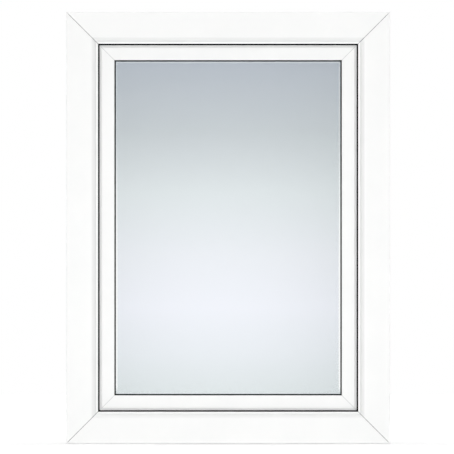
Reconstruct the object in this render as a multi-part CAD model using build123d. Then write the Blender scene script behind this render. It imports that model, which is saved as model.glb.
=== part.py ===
from build123d import *
import os

# White pvc casement window with an inward-opening sash, seen from outside along +Y.
# X runs to the right, Y runs from outdoors to indoors, Z is up, all in millimetres.
# The origin is on the underside of the sill, halfway along it and halfway through the frame.
# Sections are drawn as (u, y): u is the distance inwards from the outer perimeter, y the depth.

# Overall size of the outer frame
width = 750.0
height = 1000.0
frame_depth = 70.0

# Walls of the hollow profiles, and the ribs between their chambers
wall = 2.8
rib = 1.6

# Frame section: body, and the lip that covers the edge of the sash outdoors
frame_body = 52.0
lip_reach = 21.5
lip_thickness = 15.0
nose_width = 4.0
shoulder_run = 5.5
shoulder_drop = 6.0
shoulder_radius = 13.0
lip_front_wall = 3.6
fixing_channel_width = 8.0
fixing_channel_depth = 3.0
fixing_channel_offset = 24.0
frame_chambers = 5

# Slots in the sill that drain its rebate into the chamber below, and that chamber downwards
drain_length = 30.0
drain_width = 5.0
drain_corner = 170.0
drain_shift = 60.0

# Sash section: body, the flange that overlaps the frame indoors, and the glazing lip
rebate_air = 12.0
sash_body = 28.0
flange_lap = 8.0
flange_thickness = 15.0
land_reveal = 4.5
bevel_width = 5.0
bevel_rise = 2.5
glazing_lip_reach = 19.5
glazing_lip_thickness = 18.0
hardware_groove_width = 12.0
hardware_groove_depth = 3.5
hardware_axis = 13.0
sash_chambers = 4

# Seals between frame and sash
seal_gap = 3.5
seal_seat_clearance = 0.3
seal_groove_width = 4.0
seal_groove_depth = 4.0
seal_groove_edge = 5.0
seal_show = 3.6
seal_wing = 4.0
seal_radius = 1.0

# Sealed glass unit
pane_thickness = 4.0
cavity = 16.0
glass_clearance = 5.0
edge_sealant_height = 5.0
spacer_height = 6.5
pane_edge_chamfer = 0.5
setting_block_length = 100.0
setting_block_corner = 70.0

# Glazing gaskets and beads
outer_gasket_thickness = 4.0
outer_gasket_show = 3.2
outer_gasket_wrap = 5.0
bead_gasket_thickness = 3.0
bead_gasket_setback = 1.0
bead_height = 22.5
bead_nose = 5.0
bead_setback = 1.0
bead_wall = 1.8
bead_leg_thickness = 2.6
bead_leg_length = 4.5
bead_leg_inset = 8.0
fit_clearance = 0.3

# Rounded arrises and the cleaned weld lines at the mitres
outer_radius = 1.0
nose_radius = 0.8
flange_radius = 3.0
lip_tip_radius = 1.5
weld_width = 0.8
frame_weld_depth = 0.5
sash_weld_depth = 0.3

# Handle on the indoor face of the left stile
rose_width = 27.0
rose_height = 66.0
rose_thickness = 10.0
rose_radius = 9.0
rose_bevel = 2.0
rose_inset = 0.4
collar_diameter = 22.0
collar_height = 5.0
grip_stand_off = 34.0
grip_length = 118.0
grip_width = 19.0
grip_thickness = 12.0
grip_bend = 14.0
grip_corner = 3.5
grip_end_bevel = 2.5

# Pivot hinges on the indoor face of the right jamb
hinge_corner = 16.0
barrel_diameter = 14.0
knuckle_length = 30.0
knuckle_gap = 0.4
hinge_leaf_thickness = 3.0
hinge_leaf_width = 26.0
hinge_leaf_radius = 3.0
hinge_arm_width = 22.0
hinge_pin_diameter = 7.0
hinge_pin_clearance = 0.2
hinge_cap_height = 3.0
hinge_cap_bevel = 1.2
barrel_clearance = 1.0

# Depths that follow from the sizes above
frame_face = -frame_depth / 2
frame_back = frame_depth / 2
lip_back = frame_face + lip_thickness
sash_land = lip_back + seal_gap
sash_face = sash_land - bevel_rise
flange_front = frame_back + seal_gap
sash_back = flange_front + flange_thickness
glazing_seat = sash_face + glazing_lip_thickness
glass_front = glazing_seat + outer_gasket_thickness
cavity_front = glass_front + pane_thickness
cavity_back = cavity_front + cavity
glass_back = cavity_back + pane_thickness
bead_front = glass_back + bead_gasket_thickness
bead_back = sash_back - bead_setback

# Distances in from the perimeter that follow from the sizes above
lip_tip = frame_body + lip_reach
sash_edge = frame_body + rebate_air
flange_edge = frame_body - flange_lap
land_edge = lip_tip + land_reveal
glazing_base = sash_edge + sash_body
glazing_lip_tip = glazing_base + glazing_lip_reach
glass_edge = glazing_base + glass_clearance
bead_tip = glazing_base + bead_height
bead_leg_front = bead_back - bead_leg_inset - bead_leg_thickness


def outline(points):
    """Closed face through (u, y, corner radius) points."""
    places = [(u, y) for u, y, radius in points]
    radii = [radius for u, y, radius in points]
    return make_face(FilletPolyline(*places, radius=radii, close=True))


def mitre_wedge(length, set_back):
    """Region between the two 45 degree cuts, each moved inwards by a set-back."""
    spare = frame_body
    half = length / 2 - set_back * 2**0.5
    corners = [(-half - spare, -spare), (half + spare, -spare), (0, half)]
    return extrude(Plane.XZ * make_face(Polyline(*corners, close=True)), height, both=True)


def mitred(body, length, chambers=(), weld_depth=0):
    """Hollow bar along X with u upwards, cut at 45 degrees, each end recessed where it is welded."""
    start = Plane(origin=(length / 2, 0, 0), x_dir=(0, 0, 1), z_dir=(-1, 0, 0))
    bar = extrude(start * body, length) & mitre_wedge(length, weld_width if weld_depth else 0)
    if weld_depth:
        core = body & (Pos(0, weld_depth) * body) & (Pos(0, -weld_depth) * body)
        bar += extrude(start * core, length) & mitre_wedge(length, 0)
    for chamber in chambers:
        bar -= extrude(start * chamber, length)
    return bar.solid()


def chamber_depth(front, back, count):
    return (back - front - (count - 1) * rib) / count


def chamber_row(edge_in, edge_out, front, back, count):
    """Equal chambers side by side through the depth, between two distances from the perimeter."""
    depth = chamber_depth(front, back, count)
    shape = Rectangle(edge_out - edge_in, depth)
    middle = (edge_in + edge_out) / 2
    first = front + depth / 2
    return [Pos(middle, first + step * (depth + rib)) * shape for step in range(count)]


def placed(bar, side):
    """Turn a bar about the depth axis onto its side of the window."""
    places = {
        "bottom": Pos(0, 0, 0),
        "top": Pos(0, 0, height) * Rot(0, 180, 0),
        "left": Pos(-width / 2, 0, height / 2) * Rot(0, 90, 0),
        "right": Pos(width / 2, 0, height / 2) * Rot(0, -90, 0),
    }
    return places[side] * bar


def side_length(side):
    return width if side in ("bottom", "top") else height


def frame_section():
    """Outer frame: fixing channels at the wall side, rounded shoulder and nose outdoors."""
    nose = lip_tip - nose_width
    nose_face = frame_face + shoulder_drop
    groove_in = lip_tip - seal_groove_edge
    groove_out = groove_in - seal_groove_width
    body = outline(
        [
            (0, frame_face, outer_radius),
            (nose - shoulder_run, frame_face, shoulder_radius),
            (nose, nose_face, 0),
            (lip_tip, nose_face, nose_radius),
            (lip_tip, lip_back, 0),
            (groove_in, lip_back, 0),
            (groove_in, lip_back - seal_groove_depth, 0),
            (groove_out, lip_back - seal_groove_depth, 0),
            (groove_out, lip_back, 0),
            (frame_body, lip_back, 0),
            (frame_body, frame_back, 0),
            (0, frame_back, outer_radius),
        ]
    )
    channel = Rectangle(2 * fixing_channel_depth, fixing_channel_width)
    channels = [Pos(0, y) * channel for y in (-fixing_channel_offset, fixing_channel_offset)]
    return body - channels


def frame_hollows():
    """Chambers of the frame's body, and one in its lip."""
    body_in = fixing_channel_depth + wall
    body_out = frame_body - wall
    lip_in = body_out + rib
    lip_out = lip_tip - seal_groove_edge - seal_groove_width - wall
    body = chamber_row(body_in, body_out, frame_face + wall, frame_back - wall, frame_chambers)
    return body + chamber_row(lip_in, lip_out, frame_face + lip_front_wall, lip_back - wall, 1)


def drained(sill):
    """Sill with its drain slots, over and under the first chamber behind the lip."""
    first = frame_face + wall
    depth = chamber_depth(first, frame_back - wall, frame_chambers)
    axis = first + 1.5 * depth + rib
    reach = fixing_channel_depth + 2 * wall
    slot = extrude(SlotOverall(drain_length, drain_width), reach, both=True)
    upper = width / 2 - drain_corner
    lower = upper - drain_shift
    cuts = [Pos(side * upper, axis, frame_body) * slot for side in (-1, 1)]
    cuts += [Pos(side * lower, axis, 0) * slot for side in (-1, 1)]
    return (sill - cuts).solid()


def sash_section():
    """Sash: bevelled face and glazing lip outdoors, overlapping flange indoors."""
    groove_axis = flange_front - hardware_axis
    gasket_groove_in = glazing_lip_tip - seal_groove_edge
    gasket_groove_out = gasket_groove_in - seal_groove_width
    body = outline(
        [
            (sash_edge, sash_land, 0),
            (land_edge, sash_land, 0),
            (land_edge + bevel_width, sash_face, nose_radius),
            (glazing_lip_tip, sash_face, lip_tip_radius),
            (glazing_lip_tip, glazing_seat, 0),
            (gasket_groove_in, glazing_seat, 0),
            (gasket_groove_in, glazing_seat - seal_groove_depth, 0),
            (gasket_groove_out, glazing_seat - seal_groove_depth, 0),
            (gasket_groove_out, glazing_seat, 0),
            (glazing_base, glazing_seat, 0),
            (glazing_base, sash_back, outer_radius),
            (flange_edge, sash_back, flange_radius),
            (flange_edge, flange_front, outer_radius),
            (sash_edge, flange_front, 0),
        ]
    )
    hardware_groove = Rectangle(2 * hardware_groove_depth, hardware_groove_width)
    overlap_groove = Rectangle(seal_groove_width, 2 * seal_groove_depth)
    bead_groove = Rectangle(
        2 * (bead_leg_length + fit_clearance), bead_leg_thickness + 2 * fit_clearance
    )
    cuts = [
        Pos(sash_edge, groove_axis) * hardware_groove,
        Pos(overlap_seal_axis(), flange_front) * overlap_groove,
        Pos(glazing_base, bead_leg_front + bead_leg_thickness / 2) * bead_groove,
    ]
    return body - cuts


def sash_hollows():
    """Chambers of the sash's body, and one in its glazing lip."""
    body_in = sash_edge + hardware_groove_depth + wall
    body_out = glazing_base - bead_leg_length - fit_clearance - wall
    lip_in = body_out + rib
    lip_out = glazing_lip_tip - seal_groove_edge - seal_groove_width - wall
    front = sash_land + wall
    body = chamber_row(body_in, body_out, front, sash_back - wall, sash_chambers)
    return body + chamber_row(lip_in, lip_out, front, glazing_seat - wall, 1)


def overlap_seal_axis():
    """Middle of the seal on the flange, centred on the part that laps the frame."""
    return flange_edge + flange_lap / 2


def frame_seal_section():
    """Rubber seal in the lip: foot in the groove, web, and the lip that shows outdoors."""
    web_back = sash_land - seal_seat_clearance
    foot_in = lip_tip - seal_groove_edge - fit_clearance
    foot_out = foot_in - seal_groove_width + 2 * fit_clearance
    show = lip_tip + seal_show
    return outline(
        [
            (foot_out, lip_back - seal_groove_depth + fit_clearance, 0),
            (foot_in, lip_back - seal_groove_depth + fit_clearance, 0),
            (foot_in, lip_back, 0),
            (lip_tip + fit_clearance, lip_back, 0),
            (lip_tip + fit_clearance, lip_back - seal_wing, 0),
            (show, lip_back - seal_wing / 2, seal_radius),
            (show, web_back, 0),
            (foot_out - seal_groove_width, web_back, 0),
            (foot_out - seal_groove_width, lip_back, 0),
            (foot_out, lip_back, 0),
        ]
    )


def overlap_seal_section():
    """Rubber seal under the flange: foot in its groove, rounded bulb on the frame."""
    half_foot = seal_groove_width / 2 - fit_clearance
    half_bulb = half_foot + seal_show / 2
    axis = overlap_seal_axis()
    seat = frame_back + seal_seat_clearance
    return outline(
        [
            (axis - half_bulb, seat, seal_radius),
            (axis + half_bulb, seat, seal_radius),
            (axis + half_bulb, flange_front, 0),
            (axis + half_foot, flange_front, 0),
            (axis + half_foot, flange_front + seal_groove_depth - fit_clearance, 0),
            (axis - half_foot, flange_front + seal_groove_depth - fit_clearance, 0),
            (axis - half_foot, flange_front, 0),
            (axis - half_bulb, flange_front, 0),
        ]
    )


def outer_gasket_section():
    """Glazing gasket outdoors: foot, web against the glass, and a wing over the lip's tip."""
    foot_in = glazing_lip_tip - seal_groove_edge - fit_clearance
    foot_out = foot_in - seal_groove_width + 2 * fit_clearance
    wing_in = glazing_lip_tip + outer_gasket_show
    return outline(
        [
            (foot_out, glazing_seat - seal_groove_depth + fit_clearance, 0),
            (foot_in, glazing_seat - seal_groove_depth + fit_clearance, 0),
            (foot_in, glazing_seat, 0),
            (glazing_lip_tip + fit_clearance, glazing_seat, 0),
            (glazing_lip_tip + fit_clearance, glazing_seat - outer_gasket_wrap, 0),
            (wing_in, glazing_seat, seal_radius),
            (wing_in, glass_front, 0),
            (foot_out - seal_groove_width, glass_front, 0),
            (foot_out - seal_groove_width, glazing_seat, 0),
            (foot_out, glazing_seat, 0),
        ]
    )


def bead_body():
    """Glazing bead without its leg: flat against the gasket, curved indoors."""
    base = glazing_base + fit_clearance
    curve_radius = (bead_back - bead_front - bead_nose) / 2
    return outline(
        [
            (base, bead_front, 0),
            (bead_tip, bead_front, nose_radius),
            (bead_tip, bead_front + bead_nose, nose_radius),
            (bead_tip - bead_nose, bead_back, curve_radius),
            (base, bead_back, nose_radius),
        ]
    )


def bead_section():
    """Bead with the leg that snaps into the sash."""
    reach = bead_leg_length + fit_clearance + bead_wall
    leg_axis = bead_leg_front + bead_leg_thickness / 2
    leg_middle = glazing_base - bead_leg_length + reach / 2
    return bead_body() + Pos(leg_middle, leg_axis) * Rectangle(reach, bead_leg_thickness)


def bead_hollow():
    """Single chamber of the bead, one wall in from its outline all round."""
    return offset(bead_body(), -bead_wall, kind=Kind.INTERSECTION)


def bead_gasket_section():
    """Soft strip between the indoor pane and the bead."""
    tip = bead_tip - bead_gasket_setback
    return outline(
        [
            (glass_edge + edge_sealant_height, glass_back, 0),
            (tip, glass_back, 0),
            (tip, bead_front, 0),
            (glass_edge + edge_sealant_height, bead_front, 0),
        ]
    )


def glass_pane(front):
    """Clear pane with ground edges, its outdoor face at the given depth."""
    middle = Pos(0, front + pane_thickness / 2, height / 2)
    pane = Box(width - 2 * glass_edge, pane_thickness, height - 2 * glass_edge)
    return middle * chamfer(pane.edges(), pane_edge_chamfer)


def cavity_ring(outer, inner):
    """Closed ring in the cavity between the panes, from outer to inner distance."""
    middle = Pos(0, (cavity_front + cavity_back) / 2, height / 2)
    whole = Box(width - 2 * outer, cavity, height - 2 * outer)
    hole = Box(width - 2 * inner, 2 * cavity, height - 2 * inner)
    return middle * (whole - hole)


def setting_blocks():
    """Two blocks a side that carry and centre the glass unit in the sash."""
    depth = glass_back - glass_front
    block = Box(setting_block_length, depth, glass_clearance)
    blocks = []
    for side in ("bottom", "top", "left", "right"):
        reach = side_length(side) / 2 - glass_edge - setting_block_corner
        reach = reach - setting_block_length / 2
        rise = glazing_base + glass_clearance / 2
        for along in (-reach, reach):
            seat = Pos(along, (glass_front + glass_back) / 2, rise)
            blocks.append(placed(seat * block, side))
    return Compound(children=blocks)


def handle_axis():
    """Centre of the handle on the indoor face of the left stile."""
    reach_in = glazing_base - rose_inset - rose_width / 2
    return -width / 2 + reach_in, height / 2


def handle_rose():
    """Rounded cover plate with softened edges."""
    x, z = handle_axis()
    outdoors_in = Plane(origin=(x, sash_back, z), x_dir=(1, 0, 0), z_dir=(0, 1, 0))
    plate = extrude(
        outdoors_in * RectangleRounded(rose_width, rose_height, rose_radius), rose_thickness
    )
    return chamfer(plate.faces().sort_by(Axis.Y)[-1].edges(), rose_bevel)


def handle_lever():
    """Neck and grip in one casting with bevelled edges, bent down from the rose."""
    x, z = handle_axis()
    rose_front = sash_back + rose_thickness
    grip_y = rose_front + grip_stand_off
    path = FilletPolyline(
        (x, rose_front, z), (x, grip_y, z), (x, grip_y, z - grip_length), radius=grip_bend
    )
    start = Plane(origin=(x, rose_front, z), x_dir=(1, 0, 0), z_dir=(0, 1, 0))
    section = Rectangle(grip_width, grip_thickness)
    bar = sweep(start * chamfer(section.vertices(), grip_corner), path)
    bar = chamfer(bar.faces().sort_by(Axis.Z)[0].edges(), grip_end_bevel)
    collar = extrude(start * Circle(collar_diameter / 2), collar_height)
    return (bar + collar).solid()


def hinge_axis():
    """Pivot line beside the sash flange, clear of it and of the leaf on the frame."""
    reach = barrel_diameter / 2 + barrel_clearance
    return width / 2 - flange_edge + reach, frame_back + hinge_leaf_thickness + reach


def knuckle(bottom, web_end):
    """Barrel with its bore, and a web as wide as the barrel from the pivot line to a depth."""
    x, y = hinge_axis()
    middle = bottom + knuckle_length / 2
    barrel = Pos(x, y, middle) * Cylinder(barrel_diameter / 2, knuckle_length)
    web = Box(barrel_diameter, abs(web_end - y), knuckle_length)
    bore_radius = hinge_pin_diameter / 2 + hinge_pin_clearance
    bore = Pos(x, y, middle) * Cylinder(bore_radius, knuckle_length)
    return barrel + Pos(x, (web_end + y) / 2, middle) * web - bore


def hinge_bracket(bottom):
    """Leaf on the frame that carries the lower knuckle."""
    inner_edge = width / 2 - flange_edge + barrel_clearance
    seat = Plane(
        origin=(inner_edge + hinge_leaf_width / 2, frame_back, bottom + knuckle_length),
        x_dir=(1, 0, 0),
        z_dir=(0, 1, 0),
    )
    outline_of_leaf = RectangleRounded(hinge_leaf_width, 2 * knuckle_length, hinge_leaf_radius)
    leaf = extrude(seat * outline_of_leaf, hinge_leaf_thickness)
    return (leaf + knuckle(bottom, frame_back + hinge_leaf_thickness)).solid()


def hinge_band(bottom):
    """Upper knuckle with the arm that lies on the indoor face of the sash."""
    x, y = hinge_axis()
    arm_end = width / 2 - flange_edge - hinge_arm_width
    arm = Box(x - arm_end, hinge_leaf_thickness, knuckle_length)
    arm = fillet(arm.edges().filter_by(Axis.Y).group_by(Axis.X)[0], hinge_leaf_radius)
    low = bottom + knuckle_length + knuckle_gap
    arm_y = sash_back + hinge_leaf_thickness / 2
    arm = Pos((x + arm_end) / 2, arm_y, low + knuckle_length / 2) * arm
    return (arm + knuckle(low, sash_back + hinge_leaf_thickness)).solid()


def hinge_pin(bottom):
    """Pin through both knuckles, with a rounded cap on the upper one."""
    x, y = hinge_axis()
    shank_length = 2 * knuckle_length + knuckle_gap
    shank = Pos(x, y, bottom + shank_length / 2) * Cylinder(hinge_pin_diameter / 2, shank_length)
    cap = Cylinder(barrel_diameter / 2, hinge_cap_height)
    cap = chamfer(cap.faces().sort_by(Axis.Z)[-1].edges(), hinge_cap_bevel)
    cap = Pos(x, y, bottom + shank_length + hinge_cap_height / 2) * cap
    return (shank + cap).solid()


def ring(names, section, chambers=(), weld_depth=0):
    """One mitred bar on each side of the window, as a dictionary of named parts."""
    bars = {}
    for side, name in names.items():
        bar = mitred(section, side_length(side), chambers, weld_depth)
        bars[name] = placed(bar, side)
    return bars


def ring_names(stem):
    return {side: f"{stem}_{side}" for side in ("bottom", "top", "left", "right")}


frame_names = {
    "bottom": "frame_sill",
    "top": "frame_head",
    "left": "frame_left_jamb",
    "right": "frame_right_jamb",
}
sash_names = {
    "bottom": "sash_bottom_rail",
    "top": "sash_top_rail",
    "left": "sash_left_stile",
    "right": "sash_right_stile",
}
lower_hinge_bottom = flange_edge + hinge_corner
upper_hinge_bottom = height - flange_edge - hinge_corner - 2 * knuckle_length - knuckle_gap

parts = {}
parts |= ring(frame_names, frame_section(), frame_hollows(), frame_weld_depth)
parts["frame_sill"] = drained(parts["frame_sill"])
parts |= ring(sash_names, sash_section(), sash_hollows(), sash_weld_depth)
parts |= ring(ring_names("frame_seal"), frame_seal_section())
parts |= ring(ring_names("overlap_seal"), overlap_seal_section())
parts |= ring(ring_names("outer_gasket"), outer_gasket_section())
parts |= ring(ring_names("glazing_bead"), bead_section(), [bead_hollow()])
parts |= ring(ring_names("bead_gasket"), bead_gasket_section())
parts["outer_pane"] = glass_pane(glass_front)
parts["inner_pane"] = glass_pane(cavity_back)
parts["edge_sealant"] = cavity_ring(glass_edge, glass_edge + edge_sealant_height)
parts["spacer_frame"] = cavity_ring(
    glass_edge + edge_sealant_height, glass_edge + edge_sealant_height + spacer_height
)
parts["setting_blocks"] = setting_blocks()
parts["handle_rose"] = handle_rose()
parts["handle_lever"] = handle_lever()
for place, bottom in (("lower", lower_hinge_bottom), ("upper", upper_hinge_bottom)):
    parts[f"{place}_hinge_bracket"] = hinge_bracket(bottom)
    parts[f"{place}_hinge_band"] = hinge_band(bottom)
    parts[f"{place}_hinge_pin"] = hinge_pin(bottom)

os.makedirs("parts", exist_ok=True)
for name, shape in parts.items():
    export_step(shape, f"parts/{name}.step")
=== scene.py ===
import bpy
import bmesh
from mathutils import Matrix, Vector


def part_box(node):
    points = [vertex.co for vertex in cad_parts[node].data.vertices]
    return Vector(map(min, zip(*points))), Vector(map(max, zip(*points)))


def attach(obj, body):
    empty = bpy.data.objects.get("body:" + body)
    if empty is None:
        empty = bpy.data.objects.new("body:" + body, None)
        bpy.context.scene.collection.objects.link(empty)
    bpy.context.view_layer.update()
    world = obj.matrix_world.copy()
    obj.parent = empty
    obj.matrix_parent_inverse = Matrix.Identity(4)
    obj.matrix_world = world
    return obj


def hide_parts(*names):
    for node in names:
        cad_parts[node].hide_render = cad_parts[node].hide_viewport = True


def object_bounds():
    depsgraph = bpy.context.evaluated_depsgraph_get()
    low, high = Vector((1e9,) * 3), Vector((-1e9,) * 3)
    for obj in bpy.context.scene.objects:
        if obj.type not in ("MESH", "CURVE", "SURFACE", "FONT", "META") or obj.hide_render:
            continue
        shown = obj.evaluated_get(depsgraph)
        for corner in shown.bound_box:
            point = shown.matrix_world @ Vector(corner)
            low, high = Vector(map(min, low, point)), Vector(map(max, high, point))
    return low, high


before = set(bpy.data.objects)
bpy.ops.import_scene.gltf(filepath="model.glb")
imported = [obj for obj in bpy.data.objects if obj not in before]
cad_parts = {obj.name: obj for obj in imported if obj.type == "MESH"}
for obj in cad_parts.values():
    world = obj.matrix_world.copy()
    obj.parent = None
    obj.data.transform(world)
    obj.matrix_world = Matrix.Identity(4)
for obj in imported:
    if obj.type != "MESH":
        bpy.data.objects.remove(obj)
cad_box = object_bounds()

# Places on the window, in metres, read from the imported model
frame_low, frame_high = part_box("frame_sill")[0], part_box("frame_head")[1]
half_width = (frame_high.x - frame_low.x) / 2
window_height = frame_high.z - frame_low.z
mid_height = (frame_high.z + frame_low.z) / 2
outdoor_face = frame_low.y
glass_low, glass_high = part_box("outer_pane")

# The photograph's frame: 454 pixels a side, with the frame's outer edges at these pixels
PHOTO_SIDE = 454
FRAME_TOP_PX = 12.0
FRAME_BOTTOM_PX = 443.5
FRAME_LEFT_PX = 66.3
FRAME_RIGHT_PX = 389.9

QUARTER_TURN = 1.5707963
BLACK = (0.0, 0.0, 0.0)
WHITE = (1.0, 1.0, 1.0)


# Shader nodes

def feed(tree, value, socket):
    """Link another socket to this one, or set it to a plain value."""
    if isinstance(value, bpy.types.NodeSocket):
        tree.links.new(value, socket)
    else:
        socket.default_value = value


def math_node(tree, operation, first, second=None, third=None, clamp=False):
    """Math node whose inputs are sockets or numbers; returns its output."""
    node = tree.nodes.new("ShaderNodeMath")
    node.operation = operation
    node.use_clamp = clamp
    for socket, value in zip(node.inputs, (first, second, third)):
        if value is not None:
            feed(tree, value, socket)
    return node.outputs[0]


def noise_node(tree, vector, scale, detail=3.0, roughness=0.5):
    """Noise on the given coordinates; returns its value."""
    node = tree.nodes.new("ShaderNodeTexNoise")
    node.inputs["Scale"].default_value = scale
    node.inputs["Detail"].default_value = detail
    node.inputs["Roughness"].default_value = roughness
    tree.links.new(vector, node.inputs["Vector"])
    return node.outputs["Fac"]


def split_node(tree, vector):
    """Outputs X, Y and Z of a vector."""
    node = tree.nodes.new("ShaderNodeSeparateXYZ")
    tree.links.new(vector, node.inputs[0])
    return node.outputs


def colour_ramp(tree, factor, stops):
    """Ramp through two or more (position, RGB colour) stops; returns its colour."""
    ramp = tree.nodes.new("ShaderNodeValToRGB")
    elements = ramp.color_ramp.elements
    for element, (position, colour) in zip(elements, (stops[0], stops[-1])):
        element.position = position
        element.color = (*colour, 1.0)
    for position, colour in stops[1:-1]:
        elements.new(position).color = (*colour, 1.0)
    tree.links.new(factor, ramp.inputs["Fac"])
    return ramp.outputs["Color"]


def two_tones(tree, factor, tones, start=0.3, end=0.7):
    """Ramp from a darker tone to a lighter one; returns its colour."""
    dark, light = tones
    return colour_ramp(tree, factor, [(start, dark), (end, light)])


def mix_colour(tree, factor, first, second):
    """Mix of two colours, each a socket or RGB values; returns its output."""
    mix = tree.nodes.new("ShaderNodeMix")
    mix.data_type = "RGBA"
    tree.links.new(factor, mix.inputs["Factor"])
    for value, label in ((first, "A"), (second, "B")):
        linked = isinstance(value, bpy.types.NodeSocket)
        feed(tree, value if linked else (*value, 1.0), mix.inputs[label])
    return mix.outputs["Result"]


def new_group(name, inputs, outputs):
    """Empty node group with inputs (name, socket type, default) and outputs (name, type)."""
    group = bpy.data.node_groups.new(name, "ShaderNodeTree")
    for label, kind, default in inputs:
        socket = group.interface.new_socket(label, in_out="INPUT", socket_type=kind)
        if default is not None:
            socket.default_value = default
    for label, kind in outputs:
        group.interface.new_socket(label, in_out="OUTPUT", socket_type=kind)
    entry = group.nodes.new("NodeGroupInput")
    leave = group.nodes.new("NodeGroupOutput")
    return group, entry, leave


def use_group(tree, group, **values):
    """Place a node group and fill its named inputs; returns its outputs."""
    node = tree.nodes.new("ShaderNodeGroup")
    node.node_tree = group
    for label, value in values.items():
        feed(tree, value, node.inputs[label])
    return node.outputs


# Node groups: effects that several materials share

# Surface of an extruded profile
DIE_LINE_SCALE = 900.0
MOTTLE_SCALE = 14.0

# Grey line at the cleaned welds, partly painted shade of the seam's groove and partly a scraped
# tone: its reach in seam widths, its start in from the corner, and how it was scraped
SEAM_REACH = 1.5
SEAM_START = 0.006
SCRAPE_SCALE = 160.0
SCRAPE_SPREAD = 0.9
SCRAPE_LEAST = 0.4

# Painted shade on the frame's sloping shoulder, standing in for the shade of the slope: where it
# starts and ends in from the frame's edge, how far it takes to darken fully, how deep it goes
# behind the outdoor face, and how sharply it stops
PAINTED_SHADE_START = 0.0575
PAINTED_SHADE_FADE = 0.0035
PAINTED_SHADE_END = 0.0694
PAINTED_SHADE_DEPTH = 0.008
SHARP_LIMIT = 4000.0


def extrusion_group():
    """Faint die lines along a profile, and a slow mottle of its surface."""
    group, entry, leave = new_group(
        "extruded_surface",
        [("Vector", "NodeSocketVector", None), ("Along", "NodeSocketVector", (1, 1, 1))],
        [("Lines", "NodeSocketFloat"), ("Mottle", "NodeSocketFloat")],
    )
    stretch = group.nodes.new("ShaderNodeVectorMath")
    stretch.operation = "MULTIPLY"
    group.links.new(entry.outputs["Vector"], stretch.inputs[0])
    group.links.new(entry.outputs["Along"], stretch.inputs[1])
    lines = noise_node(group, stretch.outputs[0], DIE_LINE_SCALE)
    mottle = noise_node(group, entry.outputs["Vector"], MOTTLE_SCALE)
    group.links.new(lines, leave.inputs["Lines"])
    group.links.new(mottle, leave.inputs["Mottle"])
    return group


def inset_group():
    """Distances in from the window's nearer side and from its nearer end, and the lesser."""
    group, entry, leave = new_group(
        "inset",
        [("Vector", "NodeSocketVector", None)],
        [("Side", "NodeSocketFloat"), ("End", "NodeSocketFloat"), ("Edge", "NodeSocketFloat")],
    )
    place = split_node(group, entry.outputs["Vector"])
    off_axis = math_node(group, "ABSOLUTE", place["X"])
    off_middle = math_node(group, "SUBTRACT", place["Z"], mid_height)
    off_middle = math_node(group, "ABSOLUTE", off_middle)
    from_side = math_node(group, "SUBTRACT", half_width, off_axis)
    from_end = math_node(group, "SUBTRACT", window_height / 2, off_middle)
    from_edge = math_node(group, "MINIMUM", from_side, from_end)
    for label, value in (("Side", from_side), ("End", from_end), ("Edge", from_edge)):
        group.links.new(value, leave.inputs[label])
    return group


def mitre_shade_group():
    """Mask of the grey line at the cleaned welds, painted shade of the seam's groove with a
    scraped tone, strongest on the 45 degree lines in from the corners.
    """
    group, entry, leave = new_group(
        "weld_seam_shade",
        [("Vector", "NodeSocketVector", None), ("Width", "NodeSocketFloat", 0.001)],
        [("Mask", "NodeSocketFloat")],
    )
    place = use_group(group, inset, Vector=entry.outputs["Vector"])
    apart = math_node(group, "SUBTRACT", place["Side"], place["End"])
    apart = math_node(group, "ABSOLUTE", apart)
    away = math_node(group, "DIVIDE", apart, entry.outputs["Width"])
    near = math_node(group, "SUBTRACT", SEAM_REACH, away, clamp=True)
    scraped = noise_node(group, entry.outputs["Vector"], SCRAPE_SCALE)
    scraped = math_node(group, "MULTIPLY_ADD", scraped, SCRAPE_SPREAD, SCRAPE_LEAST, clamp=True)
    started = math_node(group, "DIVIDE", place["End"], SEAM_START, clamp=True)
    shown = math_node(group, "MULTIPLY", near, scraped)
    shown = math_node(group, "MULTIPLY", shown, started)
    group.links.new(shown, leave.inputs["Mask"])
    return group


def painted_shade_group():
    """Mask of the frame's sloping shoulder outdoors, where a faint grey painted shade stands in
    for the shade of the slope.
    """
    group, entry, leave = new_group(
        "shoulder_painted_shade",
        [("Vector", "NodeSocketVector", None)],
        [("Mask", "NodeSocketFloat")],
    )
    edge = use_group(group, inset, Vector=entry.outputs["Vector"])["Edge"]
    begun = math_node(group, "SUBTRACT", edge, PAINTED_SHADE_START)
    begun = math_node(group, "DIVIDE", begun, PAINTED_SHADE_FADE, clamp=True)
    short_of_nose = math_node(group, "SUBTRACT", PAINTED_SHADE_END, edge)
    short_of_nose = math_node(group, "MULTIPLY", short_of_nose, SHARP_LIMIT, clamp=True)
    depth = split_node(group, entry.outputs["Vector"])["Y"]
    outdoors = math_node(group, "SUBTRACT", outdoor_face + PAINTED_SHADE_DEPTH, depth)
    outdoors = math_node(group, "MULTIPLY", outdoors, SHARP_LIMIT, clamp=True)
    shown = math_node(group, "MULTIPLY", begun, short_of_nose)
    shown = math_node(group, "MULTIPLY", shown, outdoors)
    group.links.new(shown, leave.inputs["Mask"])
    return group


inset = inset_group()
extruded_surface = extrusion_group()
weld_seam_shade = mitre_shade_group()
shoulder_painted_shade = painted_shade_group()


# Materials

# Stretch of the die lines on members along X and on upright ones
ALONG_X = (0.01, 1.0, 1.0)
ALONG_Z = (1.0, 1.0, 0.01)

PVC_TONES = ((0.90, 0.905, 0.90), (0.92, 0.922, 0.915))
PAINTED_SHADE_GREY = (0.3, 0.3, 0.3)
COAT_TONES = ((0.88, 0.885, 0.88), (0.90, 0.90, 0.895))
CLEAR_TONES = ((0.97, 0.985, 0.98), (0.98, 0.99, 0.985))
PVC_IOR = 1.53
GLASS_IOR = 1.52

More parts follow.
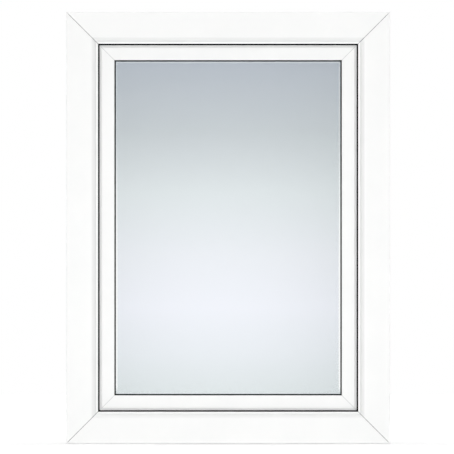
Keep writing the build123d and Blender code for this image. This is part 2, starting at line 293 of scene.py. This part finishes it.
# Glass outdoors, from its foot to its top: a painted reflection of a sky in its colour
PAINTED_SKY_STOPS = [
    (0.00, (0.75, 0.80, 0.81)),
    (0.14, (0.85, 0.88, 0.92)),
    (0.27, (0.91, 0.925, 0.985)),
    (0.42, (0.87, 0.89, 0.935)),
    (0.60, (0.77, 0.815, 0.835)),
    (0.78, (0.59, 0.63, 0.66)),
    (1.00, (0.47, 0.51, 0.57)),
]

# Where the painted sky reflection is palest, how fast it darkens aside of that, and to what
PAINTED_SKY_CENTRE = -0.023
PAINTED_SKY_FALL = 0.17
PAINTED_SKY_ASIDE = (0.3, 0.34, 0.35)

# Where the painted reflection stops short of the gasket and how sharply, and how much of the
# painted light strip left there shows at each height
LIGHT_STRIP_EDGE = 0.1185
LIGHT_STRIP_LIMIT = 2000.0
RIM_TOP = 1.9
RIM_FALL = 2.3
RIM_LEAST = 0.15
RIM_RISE = 60.0
RIM_FOOT = -1.6


def new_material(name):
    """Material with its tree, its Principled shader and the object coordinates."""
    material = bpy.data.materials.new(name)
    material.use_nodes = True
    tree = material.node_tree
    shader = tree.nodes["Principled BSDF"]
    place = tree.nodes.new("ShaderNodeTexCoord").outputs["Object"]
    return material, tree, shader, place


def bump(tree, shader, height, strength, distance):
    """Raise the surface by a pattern."""
    node = tree.nodes.new("ShaderNodeBump")
    node.inputs["Strength"].default_value = strength
    node.inputs["Distance"].default_value = distance
    tree.links.new(height, node.inputs["Height"])
    tree.links.new(node.outputs["Normal"], shader.inputs["Normal"])


def vary_roughness(tree, shader, pattern, least, spread):
    """Let the roughness follow a pattern."""
    rough = math_node(tree, "MULTIPLY_ADD", pattern, spread, least)
    tree.links.new(rough, shader.inputs["Roughness"])


def polish_glass(shader):
    """Set a shader to smooth clear glass."""
    shader.inputs["Roughness"].default_value = 0.0
    shader.inputs["IOR"].default_value = GLASS_IOR
    shader.inputs["Transmission Weight"].default_value = 1.0


def white_pvc(name, along, seam_shade_colour, seam_width, shade_strength=None):
    """Satin white pvc with die lines, a grey seam at the corners that is partly painted shade of
    its groove, and, on the frame, a faint painted shade on the shoulder.
    """
    material, tree, shader, place = new_material(name)
    surface = use_group(tree, extruded_surface, Vector=place, Along=along)
    seam = use_group(tree, weld_seam_shade, Vector=place, Width=seam_width)["Mask"]
    colour = two_tones(tree, surface["Mottle"], PVC_TONES)
    if shade_strength is not None:
        # Painted shade: grey mixed into the shoulder's colour, standing in for the shade of the
        # slope
        shaded = use_group(tree, shoulder_painted_shade, Vector=place)["Mask"]
        shaded = math_node(tree, "MULTIPLY", shaded, shade_strength)
        colour = mix_colour(tree, shaded, colour, PAINTED_SHADE_GREY)
    # Painted shade in part: the seam's grey stands in for the shade of its groove
    colour = mix_colour(tree, seam, colour, seam_shade_colour)
    tree.links.new(colour, shader.inputs["Base Color"])
    vary_roughness(tree, shader, surface["Lines"], least=0.28, spread=0.12)
    shader.inputs["IOR"].default_value = PVC_IOR
    bump(tree, shader, surface["Lines"], strength=0.15, distance=0.00005)
    return material


def rubber(name, along, tones, gloss):
    """Matt extruded rubber, a little worn along its lines."""
    material, tree, shader, place = new_material(name)
    surface = use_group(tree, extruded_surface, Vector=place, Along=along)
    colour = two_tones(tree, surface["Lines"], tones, start=0.35, end=0.75)
    tree.links.new(colour, shader.inputs["Base Color"])
    vary_roughness(tree, shader, surface["Mottle"], least=0.5, spread=0.2)
    shader.inputs["Specular IOR Level"].default_value = gloss
    bump(tree, shader, surface["Lines"], strength=0.3, distance=0.0001)
    return material


def painted_sky_reflection(tree, place, rise):
    """Painted reflection of a sky in the glass's colour, by height and by distance aside; returns
    its colour.
    """
    painted_sky = colour_ramp(tree, rise, PAINTED_SKY_STOPS)
    aside = math_node(tree, "SUBTRACT", place["X"], PAINTED_SKY_CENTRE)
    aside = math_node(tree, "DIVIDE", aside, glass_high.x)
    aside = math_node(tree, "POWER", math_node(tree, "ABSOLUTE", aside), 2.0)
    aside = math_node(tree, "MULTIPLY", aside, PAINTED_SKY_FALL)
    return mix_colour(tree, aside, painted_sky, PAINTED_SKY_ASIDE)


def painted_light_strip(tree, edge, rise):
    """Mask of a painted light strip beside the gasket, where the painted reflection is left out:
    strongest low down, none at the foot.
    """
    # Painted light strip: the painted reflection is left out here, so the strip shows lighter
    in_light_strip = math_node(tree, "SUBTRACT", LIGHT_STRIP_EDGE, edge)
    in_light_strip = math_node(tree, "MULTIPLY", in_light_strip, LIGHT_STRIP_LIMIT, clamp=True)
    lower = math_node(tree, "MULTIPLY_ADD", rise, -RIM_FALL, RIM_TOP, clamp=True)
    lower = math_node(tree, "MAXIMUM", lower, RIM_LEAST)
    above_foot = math_node(tree, "MULTIPLY_ADD", rise, RIM_RISE, RIM_FOOT, clamp=True)
    return math_node(tree, "MULTIPLY", in_light_strip, math_node(tree, "MULTIPLY", lower, above_foot))


def painted_reflection_glass(name):
    """Pane with a painted sky reflection in its colour: blue grey at the top, palest in the lower
    third, with a painted light strip at its rim.
    """
    material, tree, shader, vector = new_material(name)
    place = split_node(tree, vector)
    rise = math_node(tree, "SUBTRACT", place["Z"], glass_low.z)
    rise = math_node(tree, "DIVIDE", rise, glass_high.z - glass_low.z)
    edge = use_group(tree, inset, Vector=vector)["Edge"]
    painted_sky = painted_sky_reflection(tree, place, rise)
    # Painted reflection: a sky gradient put into the pane's colour, left out in a painted light
    # strip at the rim
    colour = mix_colour(tree, painted_light_strip(tree, edge, rise), painted_sky, WHITE)
    tree.links.new(colour, shader.inputs["Base Color"])
    polish_glass(shader)
    return material


def clear_glass(name):
    """Plain float glass with the faintest green."""
    material, tree, shader, place = new_material(name)
    colour = two_tones(tree, noise_node(tree, place, scale=3.0), CLEAR_TONES)
    tree.links.new(colour, shader.inputs["Base Color"])
    polish_glass(shader)
    return material


def bare_metal(name, tones, least_roughness):
    """Drawn metal with fine lines and uneven polish."""
    material, tree, shader, place = new_material(name)
    surface = use_group(tree, extruded_surface, Vector=place, Along=ALONG_Z)
    colour = two_tones(tree, surface["Lines"], tones)
    tree.links.new(colour, shader.inputs["Base Color"])
    vary_roughness(tree, shader, surface["Mottle"], least=least_roughness, spread=0.15)
    shader.inputs["Metallic"].default_value = 1.0
    return material


def powder_coat(name):
    """White powder coat with a fine orange peel."""
    material, tree, shader, place = new_material(name)
    peel = noise_node(tree, place, scale=1400.0, detail=1.0)
    slow = noise_node(tree, place, scale=30.0)
    colour = two_tones(tree, slow, COAT_TONES)
    tree.links.new(colour, shader.inputs["Base Color"])
    vary_roughness(tree, shader, slow, least=0.25, spread=0.1)
    bump(tree, shader, peel, strength=0.2, distance=0.00008)
    return material


def moulded_plastic(name, tones):
    """Dull plastic or sealant with a fine grain."""
    material, tree, shader, place = new_material(name)
    grain = noise_node(tree, place, scale=500.0)
    colour = two_tones(tree, grain, tones)
    tree.links.new(colour, shader.inputs["Base Color"])
    shader.inputs["Roughness"].default_value = 0.55
    bump(tree, shader, grain, strength=0.2, distance=0.0001)
    return material


# Which node gets which finish

# Grey of the seams at the corners, partly painted shade of their grooves, their widths in metres,
# and how strong the painted shade on the shoulder is
FRAME_SEAM_SHADE = (0.16, 0.16, 0.16)
SASH_SEAM_SHADE = (0.60, 0.61, 0.61)
BEAD_SEAM_SHADE = (0.45, 0.45, 0.45)
WELD_WIDTH = 0.0009
BEAD_JOINT_WIDTH = 0.0003
FRAME_PAINTED_SHADE = 0.15
SILL_PAINTED_SHADE = 0.06

# Darker and lighter tone of the small pieces, and the gloss of the rubber ones
FRAME_SEAL_TONES = ((0.002, 0.002, 0.002), (0.005, 0.005, 0.005))
OVERLAP_SEAL_TONES = ((0.008, 0.008, 0.009), (0.02, 0.02, 0.021))
OUTER_GASKET_TONES = ((0.016, 0.020, 0.020), (0.032, 0.038, 0.038))
BEAD_GASKET_TONES = ((0.030, 0.038, 0.038), (0.06, 0.07, 0.07))
SEALANT_TONES = ((0.01, 0.01, 0.01), (0.02, 0.02, 0.02))
SPACER_TONES = ((0.5, 0.5, 0.51), (0.65, 0.65, 0.66))
PACKER_TONES = ((0.05, 0.12, 0.3), (0.07, 0.16, 0.38))
PIN_TONES = ((0.55, 0.55, 0.55), (0.7, 0.7, 0.7))
FRAME_SEAL_GLOSS = 0.02
OVERLAP_SEAL_GLOSS = 0.15
GASKET_GLOSS = 0.05


def dress(names, material):
    """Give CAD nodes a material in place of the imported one."""
    for name in names:
        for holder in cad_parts[name].material_slots:
            holder.material = material


def dress_ring(across, upright, make, *values):
    """Give the members along X and those along Z the same finish, turned to suit."""
    dress(across, make(across[0] + "_finish", ALONG_X, *values))
    dress(upright, make(upright[0] + "_finish", ALONG_Z, *values))


# Frame and sill get the painted shade on their shoulders
sill_finish = white_pvc("sill_finish", ALONG_X, FRAME_SEAM_SHADE, WELD_WIDTH, SILL_PAINTED_SHADE)
dress(["frame_sill"], sill_finish)
dress_ring(["frame_head"], ["frame_left_jamb", "frame_right_jamb"],
           white_pvc, FRAME_SEAM_SHADE, WELD_WIDTH, FRAME_PAINTED_SHADE)
dress_ring(["sash_bottom_rail", "sash_top_rail"], ["sash_left_stile", "sash_right_stile"],
           white_pvc, SASH_SEAM_SHADE, WELD_WIDTH)
for ring, finish, values in (
    ("glazing_bead", white_pvc, (BEAD_SEAM_SHADE, BEAD_JOINT_WIDTH)),
    ("frame_seal", rubber, (FRAME_SEAL_TONES, FRAME_SEAL_GLOSS)),
    ("overlap_seal", rubber, (OVERLAP_SEAL_TONES, OVERLAP_SEAL_GLOSS)),
    ("outer_gasket", rubber, (OUTER_GASKET_TONES, GASKET_GLOSS)),
    ("bead_gasket", rubber, (BEAD_GASKET_TONES, GASKET_GLOSS)),
):
    dress_ring([ring + "_bottom", ring + "_top"], [ring + "_left", ring + "_right"],
               finish, *values)
# The outer pane carries the painted sky reflection
dress(["outer_pane"], painted_reflection_glass("outer_glass"))
dress(["inner_pane"], clear_glass("inner_glass"))
dress(["edge_sealant"], moulded_plastic("edge_sealant_black", SEALANT_TONES))
dress(["spacer_frame"], bare_metal("spacer_aluminium", SPACER_TONES, least_roughness=0.35))
dress(["setting_blocks"], moulded_plastic("packer_blue", PACKER_TONES))
handle_white = powder_coat("handle_white")
hinge_white = powder_coat("hinge_white")
pin_steel = bare_metal("pin_steel", PIN_TONES, least_roughness=0.3)
dress(["handle_rose", "handle_lever"], handle_white)
for level in ("lower", "upper"):
    dress([level + "_hinge_bracket", level + "_hinge_band"], hinge_white)
    dress([level + "_hinge_pin"], pin_steel)


# Handle and hinges with round edges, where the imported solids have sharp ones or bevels

MERGE_DISTANCE = 0.000001

# Rose: corners seen from the front, and its front rim
ROSE_CORNER = 0.009
ROSE_RIM = 0.002

# Lever: its grip with the bend to the neck, and the collar on the rose
GRIP_WIDTH = 0.019
GRIP_THICKNESS = 0.012
GRIP_CORNER = 0.0045
GRIP_BEND = 0.014
GRIP_RIM = 0.003
COLLAR_RADIUS = 0.011
COLLAR_HEIGHT = 0.005
COLLAR_RIM = 0.0008

# Hinges: how round an edge is, and which edges are flat or get rounded, by their angle
HINGE_EDGE = 0.0005
FLAT_ANGLE = 0.01
EDGE_ANGLE = 0.6

# Steps in each rounding
CORNER_STEPS = 7
RIM_STEPS = 5
BEND_STEPS = 14
COLLAR_STEPS = 64
HINGE_STEPS = 3


def stand_up(shape, verts, place):
    """Turn flat work upright, to face indoors, and set it at its place."""
    turn = Matrix.Rotation(QUARTER_TURN, 3, "X")
    bmesh.ops.rotate(shape, verts=verts, cent=(0, 0, 0), matrix=turn)
    bmesh.ops.translate(shape, verts=verts, vec=Vector(place))


def rounded_outline(shape, width, height, radius, place):
    """Upright face with rounded corners, scaled from a square of one metre; returns it."""
    bmesh.ops.create_grid(shape, x_segments=1, y_segments=1, size=0.5)
    bmesh.ops.scale(shape, verts=shape.verts, vec=Vector((width, height, 1)))
    bmesh.ops.bevel(shape, geom=shape.verts[:], offset=radius, affect="VERTICES",
                    segments=CORNER_STEPS, profile=0.5, material=-1)
    stand_up(shape, shape.verts[:], place)
    return shape.faces[:][0]


def first_face(items):
    """The face among the elements that an operator returned."""
    return [item for item in items if isinstance(item, bmesh.types.BMFace)][0]


def push(shape, face, way):
    """Carry a face straight on, with walls behind it; returns the new end face."""
    grown = bmesh.ops.extrude_face_region(shape, geom=[face])["geom"]
    ends = [item for item in grown if isinstance(item, bmesh.types.BMVert)]
    bmesh.ops.translate(shape, verts=ends, vec=Vector(way))
    return first_face(grown)


def round_rim(shape, face, radius):
    """Round the edges of an end face."""
    bmesh.ops.bevel(shape, geom=face.edges[:], offset=radius, affect="EDGES",
                    segments=RIM_STEPS, profile=0.5, material=-1)


def finish_casting(shape, node, material):
    """Close the shape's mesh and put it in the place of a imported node."""
    bmesh.ops.remove_doubles(shape, verts=shape.verts[:], dist=MERGE_DISTANCE)
    bmesh.ops.recalc_face_normals(shape, faces=shape.faces[:])
    mesh = bpy.data.meshes.new(node + "_casting")
    shape.to_mesh(mesh)
    shape.free()
    mesh.shade_smooth()
    mesh.materials.append(material)
    piece = bpy.data.objects.new(node + "_casting", mesh)
    bpy.context.collection.objects.link(piece)
    even = piece.modifiers.new("even_shading", "WEIGHTED_NORMAL")
    even.keep_sharp = True
    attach(piece, "root")
    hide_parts(node)


def cast_rose():
    """Plate behind the lever, with a rounded front rim."""
    back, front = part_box("handle_rose")
    middle = (back + front) / 2
    shape = bmesh.new()
    face = rounded_outline(shape, front.x - back.x, front.z - back.z, ROSE_CORNER,
                           (middle.x, back.y, middle.z))
    face = push(shape, face, (0, front.y - back.y, 0))
    round_rim(shape, face, ROSE_RIM)
    finish_casting(shape, "handle_rose", handle_white)


def cast_lever():
    """Collar, neck and grip, bent down from the rose."""
    back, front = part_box("handle_lever")
    middle = (back.x + front.x) / 2
    neck_z = front.z - COLLAR_RADIUS
    bend_y = front.y - GRIP_THICKNESS / 2 - GRIP_BEND
    shape = bmesh.new()
    face = rounded_outline(shape, GRIP_WIDTH, GRIP_THICKNESS, GRIP_CORNER,
                           (middle, back.y, neck_z))
    face = push(shape, face, (0, bend_y - back.y, 0))
    turned = bmesh.ops.spin(shape, geom=[face], cent=(middle, bend_y, neck_z - GRIP_BEND),
                            axis=(1, 0, 0), angle=-QUARTER_TURN, steps=BEND_STEPS)
    face = push(shape, first_face(turned["geom_last"]), (0, 0, back.z - neck_z + GRIP_BEND))
    round_rim(shape, face, GRIP_RIM)
    ring = bmesh.ops.create_circle(shape, cap_ends=True, radius=COLLAR_RADIUS,
                                   segments=COLLAR_STEPS)["verts"]
    stand_up(shape, ring, (middle, back.y, neck_z))
    face = push(shape, ring[0].link_faces[0], (0, COLLAR_HEIGHT, 0))
    round_rim(shape, face, COLLAR_RIM)
    finish_casting(shape, "handle_lever", handle_white)


def soften_hinge(node):
    """Copy of a hinge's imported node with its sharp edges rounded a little."""
    shape = bmesh.new()
    shape.from_mesh(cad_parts[node].data)
    bmesh.ops.remove_doubles(shape, verts=shape.verts[:], dist=MERGE_DISTANCE)
    bmesh.ops.dissolve_limit(shape, angle_limit=FLAT_ANGLE, verts=shape.verts[:],
                             edges=shape.edges[:])
    sharp = [edge for edge in shape.edges
             if edge.is_manifold and edge.calc_face_angle() > EDGE_ANGLE]
    bmesh.ops.bevel(shape, geom=sharp, offset=HINGE_EDGE, affect="EDGES", clamp_overlap=True,
                    segments=HINGE_STEPS, profile=0.5, material=-1)
    finish_casting(shape, node, hinge_white)


cast_rose()
cast_lever()
for level in ("lower", "upper"):
    soften_hinge(level + "_hinge_bracket")
    soften_hinge(level + "_hinge_band")


# Floor, light and camera

# Light of the world on surfaces
AMBIENT = 0.21

# Floor: half its side, its gap under the sill, and its own glow as the camera sees it, which
# grows to FAR_LIFT at FLOOR_FADE from the window and to plain white at twice that
FLOOR_HALF = 13.0
FLOOR_GAP = 0.0005
FLOOR_FADE = 3.0
NEAR_LIFT = 0.22
FAR_LIFT = 0.8
FLOOR_TONES = ((0.90, 0.90, 0.90), (0.92, 0.92, 0.92))

# Lamps: one in front, two behind and to the sides, one above and a low fill before the sill
SOFTBOX_SIZE = 3.0
SOFTBOX_DISTANCE = 6.0
FRONT_POWER = 311.0
BACK_POWER = 165.0
BACK_TURN = 0.72
TOP_SIZE = 1.5
TOP_DISTANCE = 3.0
TOP_POWER = 48.0
FILL_SIZE = 0.9
FILL_PLACE = (0.0, -1.2, 0.0)
FILL_POWER = 2.6

CAMERA_DISTANCE = 45.0


def seen_rays(tree):
    """1 for what the camera sees, straight or in gloss or through glass, and 0 for light."""
    path = tree.nodes.new("ShaderNodeLightPath")
    seen = math_node(tree, "MAXIMUM", path.outputs["Is Camera Ray"], path.outputs["Is Glossy Ray"])
    return math_node(tree, "MAXIMUM", seen, path.outputs["Is Transmission Ray"])


def white_studio():
    """World that lights evenly and shows as white to the camera, glass and gloss."""
    world = bpy.data.worlds.new("white_studio")
    bpy.context.scene.world = world
    world.use_nodes = True
    tree = world.node_tree
    backdrop = tree.nodes["Background"]
    backdrop.inputs["Color"].default_value = (*WHITE, 1.0)
    strength = math_node(tree, "MULTIPLY_ADD", seen_rays(tree), 1.0 - AMBIENT, AMBIENT)
    tree.links.new(strength, backdrop.inputs["Strength"])


def floor_paint():
    """Pale paint that glows towards white with distance, where the camera sees it."""
    material, tree, shader, place = new_material("floor_paint")
    colour = two_tones(tree, noise_node(tree, place, scale=1.5), FLOOR_TONES)
    shader.inputs["Roughness"].default_value = 0.9
    seen = seen_rays(tree)
    reach = tree.nodes.new("ShaderNodeVectorMath")
    reach.operation = "LENGTH"
    tree.links.new(place, reach.inputs[0])
    near = math_node(tree, "DIVIDE", reach.outputs["Value"], FLOOR_FADE, clamp=True)
    far = math_node(tree, "DIVIDE", reach.outputs["Value"], FLOOR_FADE)
    far = math_node(tree, "SUBTRACT", far, 1.0, clamp=True)
    lift = math_node(tree, "MULTIPLY_ADD", near, FAR_LIFT - NEAR_LIFT, NEAR_LIFT)
    lift = math_node(tree, "MULTIPLY_ADD", far, 1.0 - FAR_LIFT, lift)
    lift = math_node(tree, "MULTIPLY", lift, seen)
    colour = mix_colour(tree, math_node(tree, "MULTIPLY", far, seen), colour, BLACK)
    tree.links.new(colour, shader.inputs["Base Color"])
    glow = mix_colour(tree, lift, BLACK, WHITE)
    tree.links.new(glow, shader.inputs["Emission Color"])
    shader.inputs["Emission Strength"].default_value = 1.0
    return material


def pale_floor():
    """Plain pale floor under the sill that keeps the object's shadow."""
    mesh = bpy.data.meshes.new("floor")
    shape = bmesh.new()
    bmesh.ops.create_grid(shape, x_segments=1, y_segments=1, size=FLOOR_HALF)
    drop = Vector((0, 0, cad_box[0].z - FLOOR_GAP))
    bmesh.ops.translate(shape, verts=shape.verts, vec=drop)
    shape.to_mesh(mesh)
    shape.free()
    floor = bpy.data.objects.new("floor", mesh)
    bpy.context.collection.objects.link(floor)
    mesh.materials.append(floor_paint())


def softbox(name, place, target, size, power):
    """Square lamp aimed at a target, unseen by the camera, gloss and glass."""
    lamp = bpy.data.lights.new(name, "AREA")
    lamp.shape = "SQUARE"
    lamp.size = size
    lamp.energy = power
    holder = bpy.data.objects.new(name, lamp)
    holder.location = place
    holder.rotation_mode = "QUATERNION"
    holder.rotation_quaternion = (Vector(target) - Vector(place)).to_track_quat("-Z", "Y")
    holder.visible_camera = False
    holder.visible_glossy = False
    holder.visible_transmission = False
    bpy.context.collection.objects.link(holder)


def studio_lamps():
    """All five lamps, aimed at the window."""
    centre = (0.0, 0.0, mid_height)
    in_front = (0, -SOFTBOX_DISTANCE, mid_height)
    softbox("front_softbox", in_front, centre, SOFTBOX_SIZE, FRONT_POWER)
    behind = SOFTBOX_DISTANCE * (1 - BACK_TURN**2) ** 0.5
    for name, side in (("left_back_softbox", -1), ("right_back_softbox", 1)):
        place = (side * BACK_TURN * SOFTBOX_DISTANCE, behind, window_height)
        softbox(name, place, centre, SOFTBOX_SIZE, BACK_POWER)
    above = (0, 0, window_height + TOP_DISTANCE)
    softbox("top_softbox", above, centre, TOP_SIZE, TOP_POWER)
    sill_face = (0, outdoor_face, frame_low.z)
    softbox("low_fill", FILL_PLACE, sill_face, FILL_SIZE, FILL_POWER)


def front_camera():
    """Square-on view from far off, framed as the photograph frames the window."""
    scale = window_height / (FRAME_BOTTOM_PX - FRAME_TOP_PX)
    centre_px = (FRAME_LEFT_PX + FRAME_RIGHT_PX) / 2, (FRAME_TOP_PX + FRAME_BOTTOM_PX) / 2
    camera = bpy.data.cameras.new("camera")
    camera.lens = camera.sensor_width * CAMERA_DISTANCE / (scale * PHOTO_SIDE)
    holder = bpy.data.objects.new("camera", camera)
    off_x = (PHOTO_SIDE / 2 - centre_px[0]) * scale
    off_z = (centre_px[1] - PHOTO_SIDE / 2) * scale
    holder.location = (off_x, outdoor_face - CAMERA_DISTANCE, mid_height + off_z)
    holder.rotation_euler = (QUARTER_TURN, 0, 0)
    bpy.context.collection.objects.link(holder)
    bpy.context.scene.camera = holder


white_studio()
pale_floor()
studio_lamps()
front_camera()
bpy.context.scene.view_settings.view_transform = "Standard"
